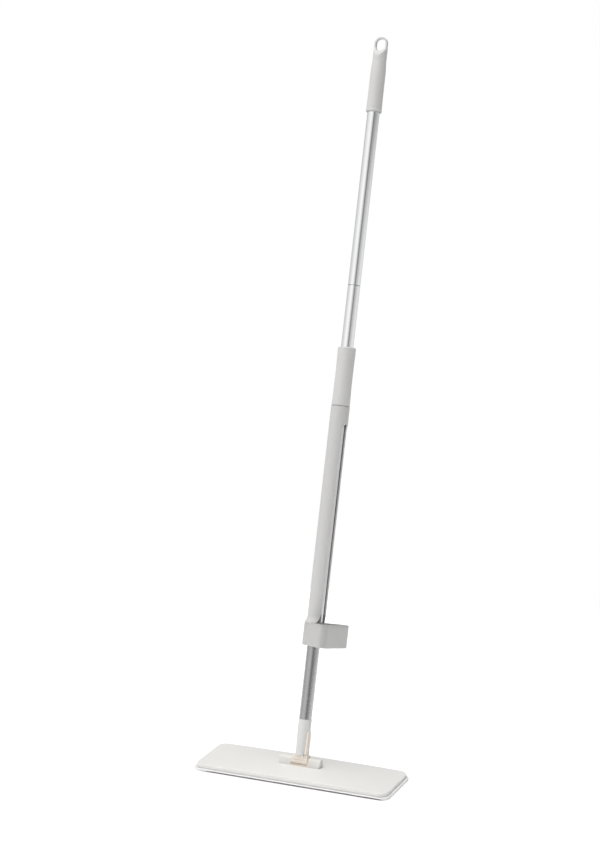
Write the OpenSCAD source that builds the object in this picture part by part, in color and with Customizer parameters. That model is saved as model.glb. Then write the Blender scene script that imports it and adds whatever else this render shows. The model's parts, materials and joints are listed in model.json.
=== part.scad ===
// Flat mop with a sliding squeeze ring on its pole.
// Millimetres, +Z up. The origin lies on the floor under the middle of the plate.
// +X runs along the plate, and the pole leans towards +Y.
// Stations along the pole are measured from the pitch axis of the hinge.

/* [Which Part] */
// Sub-part to draw

/* [Stance] */
// Lean of the pole from the vertical, in degrees
tilt = 16.5; // [0:0.5:40]
// Height of the pitch axis above the floor
hinge_z = 25.5; // [25:0.1:28]

/* [Plate] */
// Length of the plate
plate_len = 360; // [320:1:372]
// Width of the plate
plate_w = 112; // [104:1:114]
// Corner radius of the plate, seen from above
plate_corner = 14; // [8:1:20]
// Height of the plate's edge above the floor at its ends
rim_z = 11.2; // [10.4:0.1:12]
// Extra height of the edge at the middle of the plate
rim_bow = 1.2; // [0:0.1:2]
// Rise of the plate's crown above its edge at the hinge
crown = 5.1; // [3:0.1:6]

/* [Pad] */
// Length of the mop pad
pad_len = 368; // [364:1:380]
// Width of the mop pad
pad_w = 119; // [114:1:122]

/* [Pole] */
// Outer radius of the two pole tubes
tube_r = 11; // [10.5:0.1:11]
// Wall of the pole tubes
tube_wall = 0.6; // [0.6:0.1:1.2]
// Station of the joint between the two tubes
joint_s = 840; // [760:1:860]
// Station of the top end of the upper tube
tube_top = 1244; // [1230:1:1260]

/* [Top Grip] */
// Length of the grip at the top of the pole
grip_len = 96; // [90:1:140]
// Radius of the straight part of the grip
grip_r = 13.6; // [13.2:0.1:14.5]
// Width of the hanging loop
eye_w = 24; // [23:0.5:26]
// Width of the opening in the hanging loop
eye_open_w = 18.5; // [14:0.5:19]

/* [Slider] */
// Station of the bottom edge of the squeeze ring
ring_s = 200; // [198:0.5:215]
// Height of the squeeze ring
ring_h = 40.5; // [34:0.5:44]
// Distance from the pole's axis to the ring's flat front
ring_front = 43; // [42:0.1:46]
// Half width of the squeeze ring
ring_half_w = 59; // [58.5:0.1:62]
// Outer radius of the slider's long shell
shell_r = 16.6; // [16.4:0.1:17.5]
// Half width of the slot along the shell
slot_half = 11.5; // [9:0.1:12]
// Station where the shell meets the slider's hand grip
seam_s = 624; // [610:1:650]
// Station of the slider's top end
slider_top = 729; // [720:1:760]

/* [Hidden] */

$fn = 72;
eps = 1;

cream = [0.93, 0.90, 0.83];
plate_white = [0.92, 0.92, 0.89];
light_grey = [0.80, 0.80, 0.79];
socket_white = [0.90, 0.90, 0.88];
dark_plastic = [0.24, 0.24, 0.25];
guide_grey = [0.50, 0.50, 0.51];
steel = [0.72, 0.73, 0.74];
rubber_grey = [0.33, 0.33, 0.34];
pad_white = [0.90, 0.90, 0.88];
pad_grey = [0.62, 0.63, 0.64];
pile_grey = [0.42, 0.42, 0.43];

// Hinge: pitch pin along X, flip pin along Y
pitch_r = 2.5;
pitch_half = 37;
flip_r = 2;
flip_x = 11.4;
flip_s = 6.2;
knuckle_r = 3.4;
run_gap = 0.05;
barrel_r = 6.2;
saddle_r = barrel_r + 0.3;
skirt_r = 8.3;
yoke_half = 14.6;
yoke_depth = 7.8;
yoke_high = 0.3;
ear_in = 4.2;
tab_half = 3.9;
knuckle_gap = 0.4;

// Bracket and socket at the foot of the pole
base_left = -12.3;
base_right = flip_x - knuckle_r - 0.6;
base_low = 0.8;
socket_s = 8.2;
socket_top = 71;
socket_r_low = 10.4;
socket_r_top = 11.6;
spigot_top = socket_top + 37;
peg_r = 5.5;
peg_top = 36;
tongue_in = 7.2;
tongue_out = 11.6;
tongue_half = 6.7;
tongue_top = 53;
tongue_wide_s = flip_s + knuckle_r + 0.6;
relief_top = flip_s + knuckle_r + 0.8;
magnet_x = -7.5;
magnet_r = 2.5;
magnet_h = 1.2;
bracket_screw_s = [18, 29];
bracket_screw_r = 1.25;

// Plate
cover_wall = 1.8;
cover_low = 5.2;
frame_low = 4.6;
frame_floor = 7;
rib_top = 9;
frame_gap = 0.2;
platform_z = 12;
platform_half = [46, 14];
boss_out = 39.3;
boss_r = 5.3;
boss_half_depth = 8.5;
boss_corner = 4;
boss_gap = 0.15;
opening_len = 2 * boss_out + 0.6;
opening_w = 2 * boss_half_depth + 0.4;
opening_corner = boss_corner + 0.3;
cheek_in = 15;
cheek_out = 20;
cheek_r = 5;
cradle_floor = 16.4;
lip_top = 19.5;
head_screw_at = [[-17.5, 0], [17.5, 0], [-30, -4.5], [-30, 4.5], [30, -4.5], [30, 4.5]];
head_screw_r = 1.4;
head_screw_top = 18.5;
strip_z = 4.2;
strip_h = 0.8;
strip_size = [150, 17];
strip_at = [[-88, -36], [88, -36], [-88, 36], [88, 36]];

// Pad layers, from the floor up
pile_h = 3;
backing_h = strip_z - pile_h;
binding_w = 3;
binding_top = 4.5;
pad_corner = plate_corner + 3;

// Pole and top grip
tube_in = tube_r - tube_wall;
plug_r = tube_in - 0.1;
coupling_half = 40;
coupling_rib = 0.4;
grip_top = tube_top + 6;
grip_low = grip_top - grip_len;
tube_screw_s = 90;
eye_top = grip_top + 41;
eye_thick = 5;
eye_shank_low = tube_top - 22;
eye_open_low = grip_top + 15;

// Slider
slider_bore = tube_r + 0.06;
shell_in = shell_r - 1.5;
neck_in = 13;
neck_low = seam_s - 24;
neck_top = seam_s + 26;
neck_out = 14.4;
seam_half = 0.4;
flare_h = 10.5;
collar_r = 20.5;
ring_top = ring_s + ring_h;
slot_top = seam_s - 31;
slot_flare = 18.6;
shell_foot = ring_s + 14;
bush_h = 18;
guide_h = 14.5;
guide_r = 11.8;
guide_front = 9;
guide_relief = 8.4;
ring_wall = 1.8;
ring_back_r = 18;
ring_end_r = 9;
ring_corner_r = 12;
groove_low = ring_top - 3.1;
groove_high = ring_top - 2.3;
groove_depth = 0.5;
lip_base = 0.4;
lip_tooth = 0.4;
ring_screw_turn = 25;
ring_screw_s = ring_s + 24;
ring_screw_r = 1.3;

// ---------- Shared shapes ----------

// Moves a shape from the pole's own axes to where the leaning pole stands
module in_pole() {
    translate([0, 0, hinge_z])
        rotate([-tilt, 0, 0])
            children();
}

// Tube on the pole's axis between two stations
module pole_tube(r_out, r_in, s0, s1) {
    translate([0, 0, s0])
        difference() {
            cylinder(r = r_out, h = s1 - s0);
            translate([0, 0, -eps])
                cylinder(r = r_in, h = s1 - s0 + 2 * eps);
        }
}

// Block from one corner to the opposite corner
module block(low, high) {
    translate(low)
        cube(high - low);
}

// Rod along X on the pitch axis, from x0 to x1
module x_rod(r, x0, x1) {
    translate([x0, 0, 0])
        rotate([0, 90, 0])
            cylinder(r = r, h = x1 - x0);
}

// Rod along Y, centred on the pole's axis plane
module y_rod(r, half) {
    rotate([90, 0, 0])
        cylinder(r = r, h = 2 * half, center = true);
}

// Screw with its head's underside at the origin, its shank along -Z and a cross recess
module cross_screw(head_r, head_h, shank_r, length) {
    difference() {
        cylinder(r = head_r, h = head_h);
        for (turn = [0, 90])
            rotate([0, 0, turn])
                translate([-head_r * 0.55, -0.3, head_h * 0.45])
                    cube([head_r * 1.1, 0.6, head_h]);
    }
    translate([0, 0, -length])
        cylinder(r = shank_r, h = length);
}

// Flat outline with round corners, made of exact arcs
module rounded_plan(length, width, corner) {
    hx = length / 2;
    hy = width / 2;
    square([length - 2 * corner, width], center = true);
    square([length, width - 2 * corner], center = true);
    for (sx = [-1, 1], sy = [-1, 1])
        translate([sx * (hx - corner), sy * (hy - corner)])
            circle(r = corner);
}

// Slab with round corners between two heights
module slab(length, width, corner, z0, z1) {
    translate([0, 0, z0])
        linear_extrude(z1 - z0)
            rounded_plan(length, width, corner);
}

// ---------- Pole ----------

// Side view of the hanging loop: half thickness against station
function eye_side() = concat(
    [[eye_w / 2, grip_top - eps]],
    [for (a = [0 : 15 : 180])
        [(eye_w + eye_thick + (eye_w - eye_thick) * cos(a)) / 4, grip_top + 4 + a / 9]],
    [[eye_thick / 2, eye_top + eps]]
);

module eye_outline() {
    r = eye_w / 2;
    translate([-r, grip_top])
        square([eye_w, eye_top - r - grip_top]);
    translate([0, eye_top - r])
        circle(r = r);
}

module eye_opening() {
    r = eye_open_w / 2;
    top = eye_top - eye_w / 2;
    translate([-r, eye_open_low + r])
        square([eye_open_w, top - eye_open_low - r]);
    for (s = [eye_open_low + r, top])
        translate([0, s])
            circle(r = r);
}

module hang_eye() {
    side = eye_side();
    color(light_grey)
        in_pole() {
            intersection() {
                rotate([90, 0, 0])
                    linear_extrude(eye_w + 2, center = true)
                        difference() {
                            eye_outline();
                            eye_opening();
                        }
                rotate([90, 0, 90])
                    linear_extrude(eye_w + 2, center = true)
                        polygon(concat(
                            side,
                            [for (i = [len(side) - 1 : -1 : 0]) [-side[i][0], side[i][1]]]
                        ));
                translate([0, 0, grip_top - eps])
                    cylinder(r = eye_w / 2, h = eye_top - grip_top + 2 * eps);
            }
            translate([0, 0, eye_shank_low])
                cylinder(r = plug_r, h = grip_top - eye_shank_low + eps);
        }
}

module top_grip() {
    color(light_grey)
        in_pole()
            rotate_extrude()
                polygon([
                    [tube_r, grip_low],
                    [grip_r + 0.4, grip_low],
                    [grip_r + 0.8, grip_low + 0.8],
                    [grip_r + 0.8, grip_low + 3],
                    [grip_r + 0.5, grip_low + 4.2],
                    [grip_r, grip_low + 31],
                    [grip_r, grip_low + 73],
                    [eye_w / 2 + 0.15, grip_top - 1],
                    [eye_w / 2 - 0.2, grip_top],
                    [plug_r, grip_top],
                    [plug_r, tube_top],
                    [tube_r, tube_top]
                ]);
}

module upper_tube() {
    color(steel)
        in_pole()
            pole_tube(tube_r, tube_in, joint_s + coupling_rib, tube_top);
}

module tube_coupling() {
    color(dark_plastic)
        in_pole() {
            pole_tube(plug_r, plug_r - 1.6, joint_s - coupling_half, joint_s + coupling_half);
            pole_tube(tube_r - 0.4, plug_r - 0.5, joint_s - coupling_rib, joint_s + coupling_rib);
        }
}

module lower_tube() {
    color(steel)
        in_pole()
            difference() {
                pole_tube(tube_r, tube_in, socket_top, joint_s - coupling_rib);
                translate([0, 0, tube_screw_s])
                    rotate([-90, 0, 0])
                        cylinder(r = bracket_screw_r, h = tube_r + eps);
            }
}

// Outline of the bracket's tongue in the Y-Z plane, between two half widths
module tongue_outline(half, foot, top) {
    translate([-half, foot])
        square([2 * half, top - half - foot]);
    translate([0, top - half])
        circle(r = half);
}

module socket() {
    gap = 0.2;
    color(socket_white)
        in_pole()
            difference() {
                rotate_extrude()
                    polygon([
                        [0, socket_s], [socket_r_low, socket_s], [socket_r_top, socket_top - 2],
                        [socket_r_top, socket_top], [plug_r, socket_top], [plug_r, spigot_top],
                        [plug_r - 2, spigot_top], [plug_r - 2, socket_top - 20], [0, socket_top - 20]
                    ]);
                translate([0, 0, socket_s - eps])
                    cylinder(r = peg_r, h = peg_top + 0.5 - socket_s + eps);
                translate([tongue_in - gap, 0, 0])
                    rotate([90, 0, 90])
                        linear_extrude(10)
                            tongue_outline(tongue_half + gap, socket_s - eps, tongue_top + gap);
                block(
                    [tongue_in - gap, -yoke_depth - 0.5, socket_s - eps],
                    [20, yoke_depth + 0.5, relief_top]
                );
                block([flip_x - 8, -tab_half - gap, socket_s - eps], [20, tab_half + gap, relief_top]);
                for (s = bracket_screw_s)
                    translate([0, 0, s])
                        rotate([-90, 0, 0]) {
                            cylinder(r = bracket_screw_r, h = 20);
                            translate([0, 0, 8.4])
                                cylinder(r = 2.4, h = 10);
                        }
                translate([0, 0, tube_screw_s])
                    rotate([-90, 0, 0])
                        cylinder(r = bracket_screw_r, h = 20);
            }
}

// Cream foot bracket: saddle over the yoke, tongue up the socket, peg inside it
module bracket() {
    color(cream)
        in_pole()
            difference() {
                union() {
                    block([base_left, -yoke_depth, base_low], [base_right, yoke_depth, socket_s]);
                    block([flip_x - 7.4, -tab_half, flip_s + 0.5], [flip_x, tab_half, flip_s + knuckle_r]);
                    block([tongue_in, -tab_half, flip_s + 0.5], [tongue_out, tab_half, tongue_wide_s + eps]);
                    translate([tongue_in, 0, 0])
                        rotate([90, 0, 90])
                            linear_extrude(tongue_out - tongue_in)
                                tongue_outline(tongue_half, tongue_wide_s, tongue_top);
                    translate([flip_x, 0, flip_s])
                        y_rod(knuckle_r, tab_half);
                    translate([0, 0, socket_s - eps])
                        cylinder(r = peg_r, h = peg_top - socket_s + eps);
                }
                x_rod(saddle_r, base_left - eps, base_right + 0.1);
                translate([flip_x, 0, flip_s])
                    y_rod(flip_r + run_gap, tab_half + eps);
                translate([magnet_x, 0, socket_s - magnet_h])
                    cylinder(r = magnet_r, h = magnet_h + eps);
                for (s = bracket_screw_s)
                    translate([0, 0, s])
                        rotate([-90, 0, 0])
                            cylinder(r = bracket_screw_r, h = 20);
            }
}

module bracket_screws() {
    color(steel)
        in_pole()
            for (s = bracket_screw_s)
                translate([0, 8.4, s])
                    rotate([-90, 0, 0])
                        cross_screw(2.4, 1.4, bracket_screw_r, 7.9);
}

module tube_screw() {
    color(steel)
        in_pole()
            translate([0, tube_r, tube_screw_s])
                rotate([-90, 0, 0])
                    cross_screw(2.4, 1.3, bracket_screw_r, 4);
}

module hold_magnet() {
    color(steel)
        in_pole()
            translate([magnet_x, 0, socket_s - magnet_h])
                cylinder(r = magnet_r, h = magnet_h);
}

// ---------- Yoke ----------

module hinge_yoke() {
    ear_w = yoke_depth - ear_in;
    color(cream)
        in_pole()
            difference() {
                union() {
                    x_rod(barrel_r, -yoke_half, yoke_half);
                    intersection() {
                        x_rod(skirt_r, -yoke_half, yoke_half);
                        block(
                            [-yoke_half - eps, -yoke_depth, -20],
                            [yoke_half + eps, yoke_depth, yoke_high]
                        );
                    }
                    for (side = [-1, 1])
                        translate([flip_x, side * (ear_in + ear_w / 2), 0]) {
                            translate([0, 0, flip_s])
                                y_rod(knuckle_r, ear_w / 2);
                            translate([-knuckle_r, -ear_w / 2, 0])
                                cube([2 * knuckle_r, ear_w, flip_s]);
                        }
                }
                block([flip_x - knuckle_r - knuckle_gap, -ear_in, 1.2], [20, ear_in, 20]);
                block([flip_x - knuckle_r - knuckle_gap, -20, yoke_high], [flip_x - knuckle_r, 20, 20]);
                x_rod(pitch_r + run_gap, -yoke_half - eps, yoke_half + eps);
                translate([flip_x, 0, flip_s])
                    y_rod(flip_r, yoke_depth + eps);
                translate([magnet_x, 0, barrel_r - magnet_h - 0.4])
                    cylinder(r = magnet_r, h = magnet_h + 2);
            }
}

module flip_pin() {
    color(steel)
        in_pole()
            translate([flip_x, 0, flip_s])
                y_rod(flip_r, yoke_depth);
}

module keeper_disc() {
    color(steel)
        in_pole()
            translate([magnet_x, 0, barrel_r - magnet_h - 0.4])
                cylinder(r = magnet_r, h = magnet_h);
}

// ---------- Plate ----------

// Height of the cover's top surface
function cover_z(x, y) =
    rim_z + (1 - pow(2 * x / plate_len, 2)) * (rim_bow + crown * (1 - pow(2 * y / plate_w, 2)));

// Points round a rounded rectangle, the same number for every size
function round_points(length, width, corner) = concat(
    corner_points(length, width, corner, 1, 1, 0),
    [for (i = [1 : 15]) [(length / 2 - corner) * (1 - i / 8), width / 2]],
    corner_points(length, width, corner, -1, 1, 90),
    [for (i = [1 : 3]) [-length / 2, (width / 2 - corner) * (1 - i / 2)]],
    corner_points(length, width, corner, -1, -1, 180),
    [for (i = [1 : 15]) [(length / 2 - corner) * (i / 8 - 1), -width / 2]],
    corner_points(length, width, corner, 1, -1, 270),
    [for (i = [1 : 3]) [length / 2, (width / 2 - corner) * (i / 2 - 1)]]
);

function corner_points(length, width, corner, sx, sy, turn) = [
    for (a = [turn : 15 : turn + 90])
        [sx * (length / 2 - corner) + corner * cos(a), sy * (width / 2 - corner) + corner * sin(a)]
];

// Points part of the way from the opening's outline to an outer outline
function between(inner, outer, t) = [for (i = [0 : len(outer) - 1]) inner[i] * (1 - t) + outer[i] * t];

function at_cover(points, drop) = [for (p = points) [p[0], p[1], cover_z(p[0], p[1]) - drop]];

function at_height(points, z) = [for (p = points) [p[0], p[1], z]];

function flat_list(lists) = [for (l = lists) each l];

// Thin crowned cover, built as closed rings of points joined by triangles
module plate_cover() {
    steps = 8;
    opening = round_points(opening_len, opening_w, opening_corner);
    outside = round_points(plate_len, plate_w, plate_corner);
    inside = round_points(plate_len - 2 * cover_wall, plate_w - 2 * cover_wall, plate_corner - cover_wall);
    rings = concat(
        [for (i = [0 : steps]) at_cover(between(opening, outside, i / steps), 0)],
        [at_height(outside, cover_low), at_height(inside, cover_low)],
        [for (i = [steps : -1 : 0]) at_cover(between(opening, inside, i / steps), cover_wall)]
    );
    n = len(opening);
    m = len(rings);
    color(plate_white)
        polyhedron(
            points = flat_list(rings),
            faces = [
                for (i = [0 : m - 1], j = [0 : n - 1], half = [0, 1])
                    let (a = i * n + j, b = i * n + (j + 1) % n)
                    let (c = ((i + 1) % m) * n + (j + 1) % n, d = ((i + 1) % m) * n + j)
                    half == 0 ? [a, b, c] : [a, c, d]
            ]
        );
}

// Ribbed lower tray of the plate, with a platform for the hinge
module plate_frame() {
    inset = cover_wall + frame_gap;
    length = plate_len - 2 * inset;
    width = plate_w - 2 * inset;
    rib = 1.6;
    color(plate_white)
        difference() {
            union() {
                slab(length, width, plate_corner - inset, frame_low, frame_floor);
                for (y = [-36, -18, 18, 36])
                    block(
                        [-length / 2 + 8, y - rib / 2, frame_floor - eps],
                        [length / 2 - 8, y + rib / 2, rib_top]
                    );
                for (i = [-4 : 4])
                    block(
                        [i * 40 - rib / 2, -width / 2 + 4, frame_floor - eps],
                        [i * 40 + rib / 2, width / 2 - 4, rib_top]
                    );
                block(
                    [-platform_half[0], -platform_half[1], frame_floor - eps],
                    [platform_half[0], platform_half[1], platform_z]
                );
            }
            for (p = strip_at)
                translate([p[0], p[1], strip_z])
                    linear_extrude(strip_h)
                        square(strip_size, center = true);
            for (p = head_screw_at)
                translate([p[0], p[1], 0]) {
                    cylinder(r = head_screw_r, h = 20);
                    cylinder(r = 2.8, h = frame_floor);
                }
        }
}

// Point where the tangent from a base corner meets a circle at the origin
function tangent_point(corner, r) =
    let (turn = atan2(corner[1], corner[0]) + acos(r / norm(corner)))
    [r * cos(turn), r * sin(turn)];

// Loaf-shaped side view: a round top that spreads to a wide foot
module loaf_outline(r, half_depth, shoulder, foot) {
    t = tangent_point([half_depth, shoulder], r);
    circle(r = r);
    polygon([
        [half_depth, foot], [half_depth, shoulder], t,
        [-t[0], t[1]], [-half_depth, shoulder], [-half_depth, foot]
    ]);
}

// Loaf along X between two distances from the middle, with its pin hole
module loaf(x0, x1, r, half_depth, foot) {
    translate([x0, 0, hinge_z])
        rotate([90, 0, 90])
            linear_extrude(x1 - x0)
                loaf_outline(r, half_depth, -4.6, foot - hinge_z);
}

// Boss between two distances from the middle, its outer corners rounded
module boss(x0, x1) {
    length = boss_out + 10;
    color(plate_white)
        difference() {
            intersection() {
                loaf(x0, x1, boss_r, boss_half_depth, platform_z);
                translate([sign(x0) * (boss_out - length / 2), 0, 0])
                    linear_extrude(hinge_z + 10)
                        rounded_plan(length, 2 * boss_half_depth, boss_corner);
            }
            translate([0, 0, hinge_z])
                x_rod(pitch_r, -pitch_half, pitch_half);
            for (p = head_screw_at)
                translate([p[0], p[1], 0])
                    cylinder(r = head_screw_r, h = head_screw_top);
        }
}

module boss_left() {
    boss(-boss_out, -cheek_in - 0.3);
}

module boss_right() {
    boss(cheek_out + boss_gap, boss_out);
}

// Cream cradle: a cheek beside the right boss, and a floor and two lips under the yoke
module hinge_cradle() {
    lip = 2.1;
    left = boss_gap - cheek_in - 0.3;
    depth = boss_half_depth;
    color(cream)
        difference() {
            union() {
                block([left, -depth, platform_z], [cheek_out, depth, cradle_floor]);
                loaf(cheek_in, cheek_out, cheek_r, depth, platform_z);
                block([left, -depth, platform_z], [cheek_out, lip - depth, lip_top]);
                block([left, depth - lip, platform_z], [cheek_out, depth, lip_top]);
            }
            translate([0, 0, hinge_z])
                x_rod(pitch_r, -cheek_out - eps, cheek_out + eps);
            for (p = head_screw_at)
                translate([p[0], p[1], 0])
                    cylinder(r = head_screw_r, h = head_screw_top);
        }
}

module pitch_pin() {
    color(steel)
        translate([0, 0, hinge_z])
            x_rod(pitch_r, -pitch_half, pitch_half);
}

module head_screws() {
    head_h = 1.6;
    color(steel)
        for (p = head_screw_at)
            translate([p[0], p[1], frame_floor])
                mirror([0, 0, 1])
                    cross_screw(2.8, head_h, head_screw_r, head_screw_top - frame_floor);
}

module hook_strips() {
    color(pad_grey)
        for (p = strip_at)
            translate([p[0], p[1], strip_z])
                linear_extrude(strip_h)
                    square(strip_size, center = true);
}

// The pad's outline less its binding, between two heights
module pad_middle(low, high) {
    slab(pad_len - 2 * binding_w, pad_w - 2 * binding_w, pad_corner - binding_w, low, high);
}

module pad_backing() {
    color(pad_grey)
        pad_middle(pile_h, pile_h + backing_h);
}

module pad_pile() {
    color(pile_grey)
        slab(pad_len - 1, pad_w - 1, pad_corner - 0.5, 0, pile_h);
}

module pad_binding() {
    color(pad_white)
        difference() {
            slab(pad_len, pad_w, pad_corner, pile_h, binding_top);
            pad_middle(pile_h - eps, binding_top + eps);
        }
}

// ---------- Slider ----------

module slider_grip() {
    low = seam_s + seam_half;
    color(light_grey)
        in_pole()
            rotate_extrude()
                polygon([
                    [neck_out, low], [15.9, low], [16.2, low + 1.2], [16.2, low + 8], [15.7, low + 24],
                    [15.55, low + 40], [15.55, slider_top - 34], [15.75, slider_top - 20],
                    [16.05, slider_top - 8], [16.05, slider_top - 2.4], [15.3, slider_top],
                    [guide_r, slider_top], [guide_r, slider_top - 3], [neck_in, slider_top - 3],
                    [neck_in, neck_top], [neck_out, neck_top]
                ]);
}

module seam_ring() {
    color(dark_plastic)
        in_pole()
            pole_tube(shell_r - 0.8, neck_out, seam_s - seam_half, seam_s + seam_half);
}

// Slot seen from the front: straight sides, an arched top and a flared foot
module slot_outline() {
    top = slot_top - slot_half;
    polygon([
        [-slot_flare, ring_s - eps], [slot_flare, ring_s - eps], [slot_flare, ring_top],
        [slot_half + 3.2, ring_top + 5], [slot_half + 0.8, ring_top + 10], [slot_half, ring_top + 15],
        [slot_half, top], [-slot_half, top], [-slot_half, ring_top + 15],
        [-slot_half - 0.8, ring_top + 10], [-slot_half - 3.2, ring_top + 5], [-slot_flare, ring_top]
    ]);
    translate([0, top])
        circle(r = slot_half);
}

function flare_points() = [
    for (i = [0 : 5])
        let (t = i / 5)
        [shell_r + (collar_r - shell_r) * pow(1 - t, 1.5), ring_top + flare_h * t]
];

module slider_shell() {
    color(light_grey)
        in_pole()
            difference() {
                union() {
                    rotate_extrude()
                        polygon(concat(
                            [[shell_in, ring_top]],
                            flare_points(),
                            [
                                [shell_r, seam_s - seam_half - 0.6], [shell_r - 0.6, seam_s - seam_half],
                                [neck_out, seam_s - seam_half], [neck_out, neck_top], [neck_in, neck_top],
                                [neck_in, neck_low], [shell_in, neck_low]
                            ]
                        ));
                    intersection() {
                        pole_tube(shell_r, shell_in, shell_foot, ring_top + eps);
                        block([-20, -20, shell_foot - eps], [-3, 20, ring_top + 2 * eps]);
                    }
                }
                rotate([90, 0, 90])
                    linear_extrude(30)
                        slot_outline();
                for (side = [-1, 1])
                    ring_screw_place(side)
                        translate([0, 0, -10])
                            cylinder(r = ring_screw_r, h = 20);
            }
}

module upper_bush() {
    top = slider_top - 3;
    color(dark_plastic)
        in_pole()
            difference() {
                pole_tube(neck_in, slider_bore, top - bush_h - 6, top);
                pole_tube(neck_in - 0.6, slider_bore - eps, top - 14, top - 10.6);
            }
}

module friction_ring() {
    top = slider_top - 3;
    color(rubber_grey)
        in_pole()
            pole_tube(neck_in - 0.6, slider_bore, top - 14, top - 10.6);
}

module middle_bush() {
    color(dark_plastic)
        in_pole()
            pole_tube(neck_in, slider_bore, neck_low, neck_low + bush_h);
}

module lower_guides() {
    top = ring_top + guide_h;
    color(guide_grey)
        in_pole()
            difference() {
                pole_tube(shell_in, guide_r, ring_top, top);
                block([0, -guide_front, ring_top - eps], [20, guide_front, top + eps]);
                block([-20, -guide_relief, ring_top - eps], [0, guide_relief, top + eps]);
            }
}

// Plan of the ring's wall, drawn in from its outside by a given inset
module ring_plan(inset) {
    end = [ring_front - ring_end_r, ring_half_w - ring_end_r];
    lean = atan2(end[1], end[0]) + acos((ring_back_r - ring_end_r) / norm(end));
    n = [cos(lean), sin(lean)];
    back = n * (ring_back_r - inset);
    tip = end + n * (ring_end_r - inset);
    corner = [ring_front - ring_corner_r, ring_half_w - ring_corner_r];
    intersection() {
        union() {
            circle(r = ring_back_r - inset);
            for (side = [-1, 1])
                translate([end[0], side * end[1]])
                    circle(r = ring_end_r - inset);
            polygon([
                back, tip, [ring_front - inset, end[1]], [ring_front - inset, -end[1]],
                [tip[0], -tip[1]], [back[0], -back[1]]
            ]);
        }
        union() {
            translate([-40, -corner[1]])
                square([40 + ring_front - inset, 2 * corner[1]]);
            translate([-40, inset - ring_half_w])
                square([40 + corner[0], 2 * (ring_half_w - inset)]);
            for (side = [-1, 1])
                translate([corner[0], side * corner[1]])
                    circle(r = ring_corner_r - inset);
        }
    }
}

module ring_layer(s0, s1, inset) {
    translate([0, 0, s0])
        linear_extrude(s1 - s0) {
            ring_plan(inset);
            circle(r = collar_r - inset);
        }
}

// Turns a shape to one of the two ring screws, with +Z pointing out of the collar
module ring_screw_place(side) {
    rotate([0, 0, 180 + side * ring_screw_turn])
        translate([collar_r - 1.7, 0, ring_screw_s])
            rotate([0, 90, 0])
                children();
}

module squeeze_ring() {
    color(light_grey)
        in_pole()
            difference() {
                union() {
                    ring_layer(ring_s, groove_low, 0);
                    ring_layer(groove_low - eps, groove_high + eps, groove_depth);
                    ring_layer(groove_high, ring_top, 0);
                }
                translate([0, 0, ring_s - eps])
                    linear_extrude(ring_h + 2 * eps) {
                        ring_plan(ring_wall);
                        circle(r = shell_r);
                    }
                for (side = [-1, 1])
                    ring_screw_place(side) {
                        cylinder(r = 2.4, h = 5);
                        translate([0, 0, -5])
                            cylinder(r = ring_screw_r, h = 6);
                    }
            }
}

// Rubber strip with three teeth on the inside of the ring's front wall
module squeeze_lip() {
    face = ring_front - ring_wall;
    half = ring_half_w - ring_corner_r - 1;
    teeth = 3;
    tooth_h = 6;
    color(rubber_grey)
        in_pole()
            translate([0, half, 0])
                rotate([90, 0, 0])
                    linear_extrude(2 * half)
                        translate([face - lip_base, ring_s + 5])
                            polygon(concat(
                                [[0, teeth * tooth_h], [lip_base, teeth * tooth_h], [lip_base, 0]],
                                [for (i = [0 : teeth - 1])
                                    each [[0, i * tooth_h], [-lip_tooth, (i + 0.8) * tooth_h]]]
                            ));
}

module ring_screws() {
    color(steel)
        in_pole()
            for (side = [-1, 1])
                ring_screw_place(side)
                    cross_screw(2.4, 1.4, ring_screw_r, 3.5);
}

// ---------- Drawing ----------

hang_eye();
top_grip();
upper_tube();
tube_coupling();
lower_tube();
socket();
bracket();
bracket_screws();
tube_screw();
hold_magnet();
hinge_yoke();
flip_pin();
keeper_disc();
plate_cover();
plate_frame();
hinge_cradle();
boss_left();
boss_right();
pitch_pin();
head_screws();
hook_strips();
pad_backing();
pad_pile();
pad_binding();
slider_grip();
seam_ring();
slider_shell();
upper_bush();
middle_bush();
friction_ring();
lower_guides();
squeeze_ring();
squeeze_lip();
ring_screws();
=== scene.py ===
"""Looks of the flat mop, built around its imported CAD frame. Metres, +Z up, in the CAD's own frame.

Pieces on the leaning pole are drawn in the pole's own axes in millimetres: stations run up the pole
from the pitch axis, X is the plate's length and Y the pole's back. pole_mm() and POLE convert.
"""

import json
import math
import random

import bmesh
import bpy
import numpy as np
from mathutils import Matrix, Vector, noise

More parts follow.
